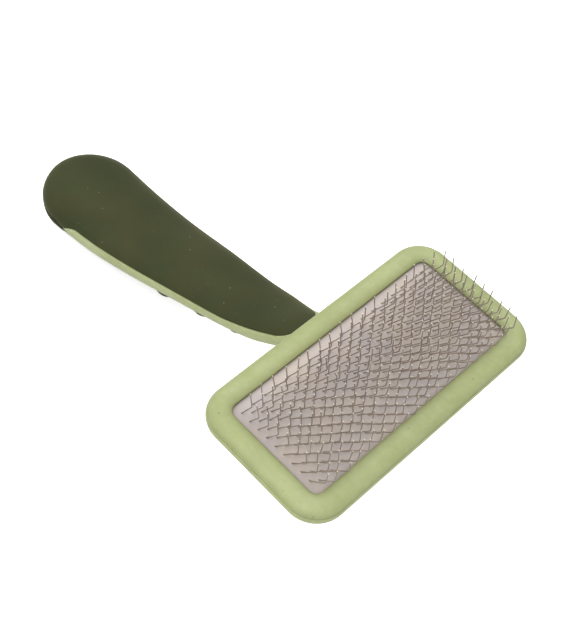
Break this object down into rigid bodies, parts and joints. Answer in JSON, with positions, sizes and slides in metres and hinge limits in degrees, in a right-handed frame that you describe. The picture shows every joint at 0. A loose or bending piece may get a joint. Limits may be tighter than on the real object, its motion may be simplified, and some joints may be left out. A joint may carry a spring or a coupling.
{
  "type": "slicker brush",
  "caption": "Rectangular slicker brush: cushioned, crowned bed of bent wire pins framed by a snap ring, on a curved two-tone handle with soft grip skins.",
  "frame": {"origin": "centre of the flat panel on the back of the head", "axes": "+Z out of the pins, +X away from the handle along the tool's long axis, +Y along the head's long side"},
  "size_m": [0.209, 0.1152, 0.0822],
  "materials": {
    "light_green_plastic": "satin, light sage green",
    "dark_green_rubber": "matt soft-touch, dark olive green",
    "pad_rubber": "matt, lavender grey",
    "backing_cloth": "plain woven, undyed",
    "cushion_foam": "open-cell foam",
    "pin_wire": "drawn steel wire, cut bright at the tips"
  },
  "bodies": {
    "handle_and_head": {"shell_and_handle": "light_green_plastic", "bezel": "light_green_plastic", "grip_face": "dark_green_rubber", "grip_back": "dark_green_rubber", "foam_cushion": "cushion_foam"},
    "pin_bed": {"facing_sheet": "pad_rubber", "cloth_backing": "backing_cloth", "staple_row_01": "pin_wire", "staple_row_02": "pin_wire", "staple_row_03": "pin_wire", "staple_row_04": "pin_wire", "staple_row_05": "pin_wire", "staple_row_06": "pin_wire", "staple_row_07": "pin_wire", "staple_row_08": "pin_wire", "staple_row_09": "pin_wire", "staple_row_10": "pin_wire", "staple_row_11": "pin_wire", "staple_row_12": "pin_wire", "staple_row_13": "pin_wire", "staple_row_14": "pin_wire", "staple_row_15": "pin_wire", "staple_row_16": "pin_wire", "staple_row_17": "pin_wire", "staple_row_18": "pin_wire"}
  },
  "joints": [
    {"name": "pad_press", "type": "slide", "parent": "handle_and_head", "child": "pin_bed", "axis": [0, 0, -1], "range_m": [0, 0.0015], "stiffness_N_per_m": 9000, "deforming": ["foam_cushion"]}
  ]
}
